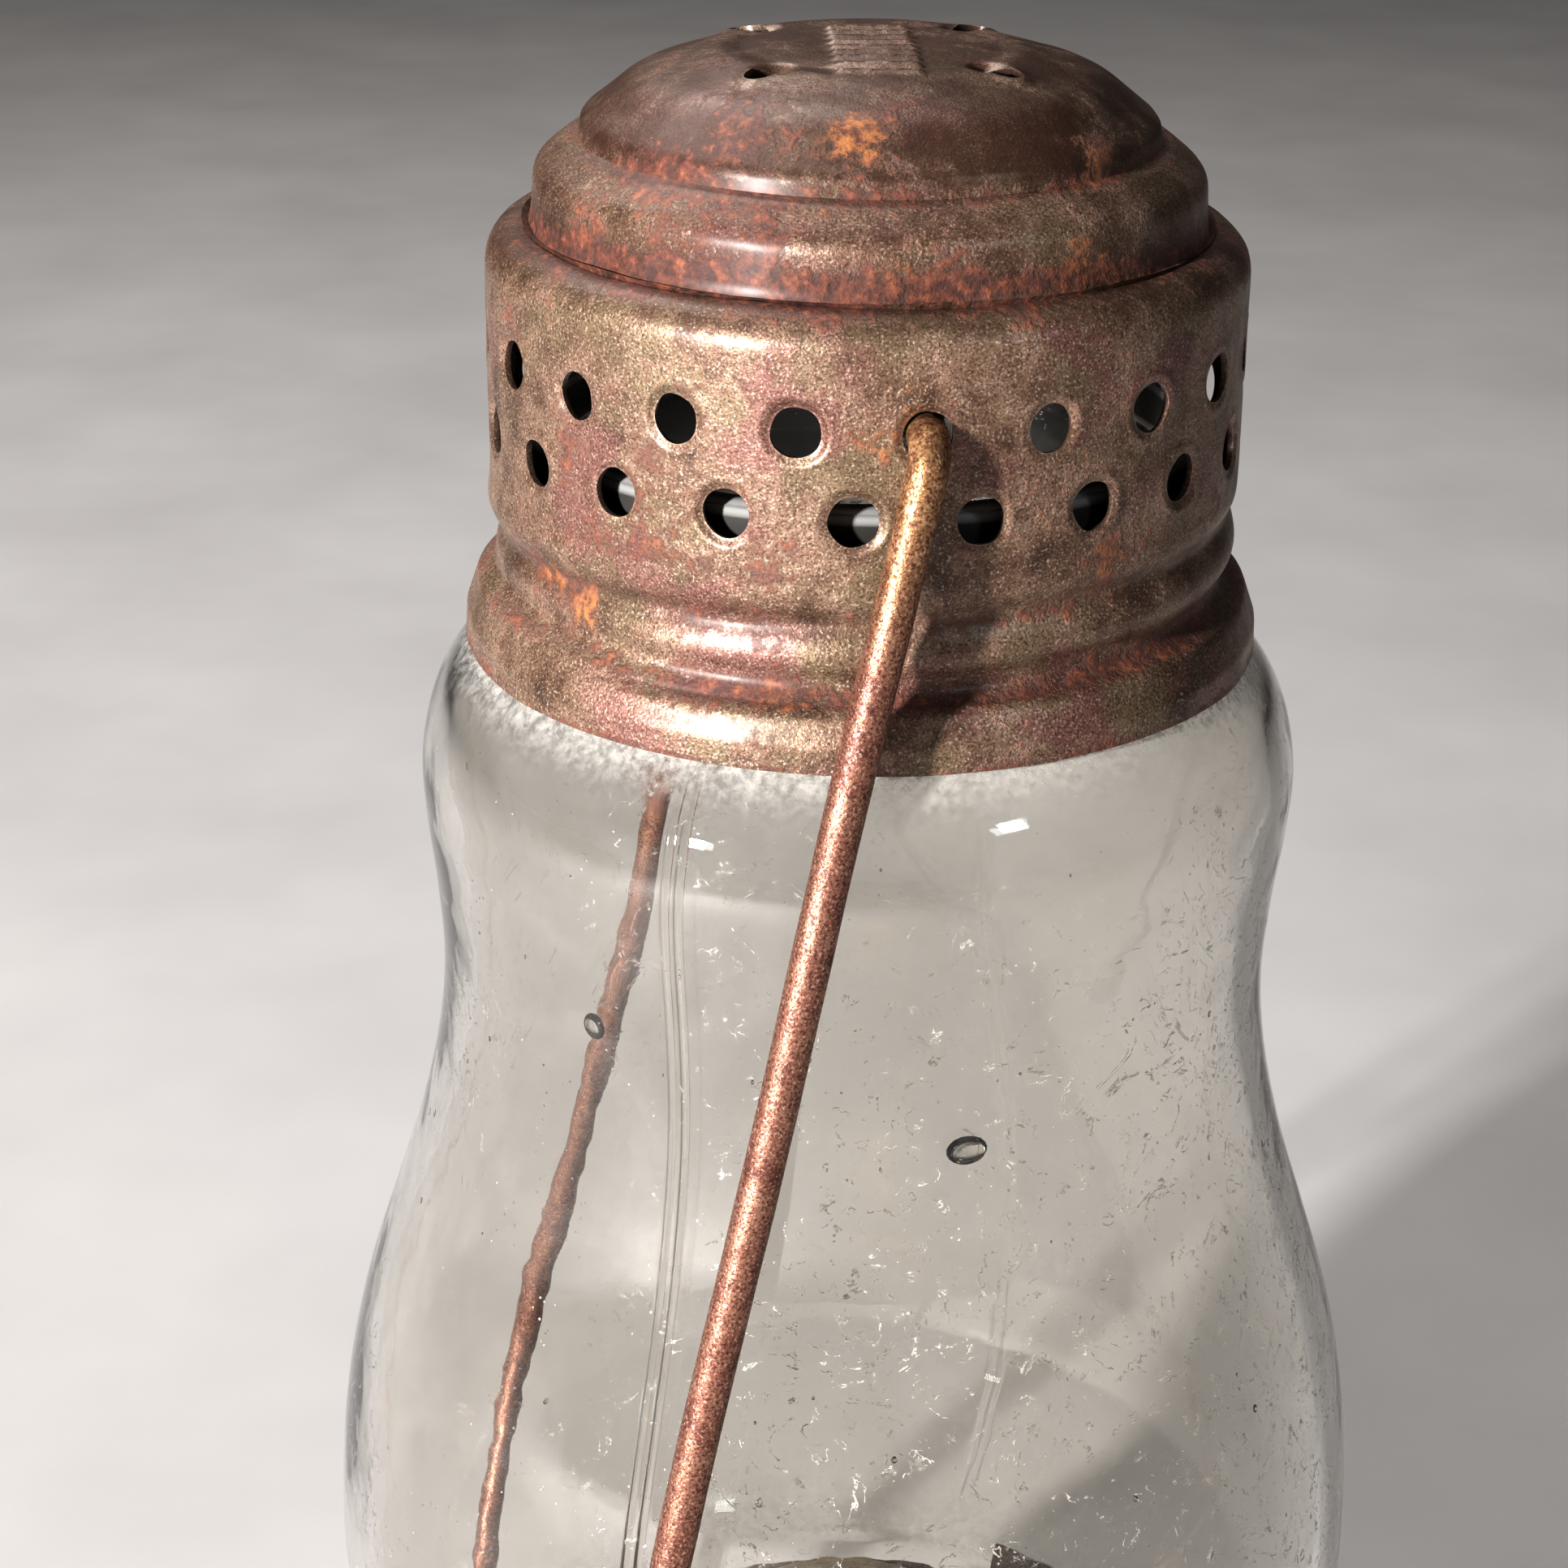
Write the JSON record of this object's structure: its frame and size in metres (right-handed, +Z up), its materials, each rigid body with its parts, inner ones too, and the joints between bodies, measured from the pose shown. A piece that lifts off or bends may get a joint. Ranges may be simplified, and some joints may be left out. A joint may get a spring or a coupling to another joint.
{
  "type": "hand lantern",
  "caption": "Small oil hand lantern: perforated screw-on tin cap with a swinging wire bail, pear-shaped glass globe, flat-wick burner with a raiser knob, round flat font.",
  "frame": {"origin": "centre of the foot, on the ground", "axes": "+Z up the lantern's axis; the bail's pivot axis is along Y and the bail hangs towards -X; the wick knob is on the +X side"},
  "size_m": [0.0812, 0.09, 0.178],
  "materials": {
    "tinplate_cap": "worn and rusted tinplate",
    "tinplate_base": "worn and rusted tinplate",
    "bail_wire": "brown rusted drawn wire",
    "burner_brass": "dull aged brass",
    "shaft_steel": "dull steel",
    "globe_glass": "clear pressed glass",
    "wick_cotton": "woven cotton",
    "gasket_cork": "cork",
    "cushion_felt": "pressed felt"
  },
  "bodies": {
    "font": {"foot_seam": "tinplate_base", "font_wall": "tinplate_base", "font_top": "tinplate_base", "font_bottom": "tinplate_base", "font_collar": "burner_brass"},
    "gasket": {"collar_gasket": "gasket_cork"},
    "burner": {"burner_bush": "burner_brass", "gallery": "tinplate_base", "gallery_prongs": "tinplate_base", "air_deck": "tinplate_base", "globe_cushion": "cushion_felt", "burner_cone": "burner_brass", "wick_tube": "burner_brass", "vent_tube": "burner_brass", "shaft_sleeve": "burner_brass", "shaft_bracket": "burner_brass"},
    "wick_raiser": {"wick_shaft": "shaft_steel", "spur_wheels": "shaft_steel", "wick_knob": "burner_brass"},
    "wick": {"wick": "wick_cotton"},
    "globe": {"globe": "globe_glass"},
    "baffle": {"draught_baffle": "tinplate_cap"},
    "cap": {"cap_shell": "tinplate_cap"},
    "bail": {"bail": "bail_wire"}
  },
  "joints": [
    {"name": "burner_rise", "type": "slide", "parent": "font", "child": "gasket", "axis": [0, 0, 1], "range_m": [0, 0.0046]},
    {"name": "burner_turn", "type": "hinge", "parent": "gasket", "child": "burner", "pos_m": [0, 0, 0.0215], "axis": [0, 0, 1], "range_deg": [0, 900]},
    {"name": "knob_turn", "type": "hinge", "parent": "burner", "child": "wick_raiser", "pos_m": [0, -0.0042, 0.0254], "axis": [1, 0, 0], "range_deg": [-45, 140]},
    {"name": "wick_raise", "type": "slide", "parent": "burner", "child": "wick", "axis": [0, 0, 1], "range_m": [-0.0025, 0.0078]},
    {"name": "globe_lift", "type": "slide", "parent": "burner", "child": "globe", "axis": [0, 0, 1], "range_m": [0, 0.025]},
    {"name": "cap_rise", "type": "slide", "parent": "globe", "child": "baffle", "axis": [0, 0, 1], "range_m": [0, 0.0068]},
    {"name": "cap_turn", "type": "hinge", "parent": "baffle", "child": "cap", "pos_m": [0, 0, 0.145], "axis": [0, 0, 1], "range_deg": [0, 504]},
    {"name": "bail_swing", "type": "hinge", "parent": "cap", "child": "bail", "pos_m": [0, 0, 0.1581], "axis": [0, 1, 0], "range_deg": [0, 333.2]}
  ],
  "couplings": [
    {"joint": "burner_rise", "follows": "burner_turn", "m_per_rad": 0.00028648},
    {"joint": "cap_rise", "follows": "cap_turn", "m_per_rad": 0.00075599},
    {"joint": "knob_turn", "follows": "wick_raise", "rad_per_m": 312.5}
  ]
}
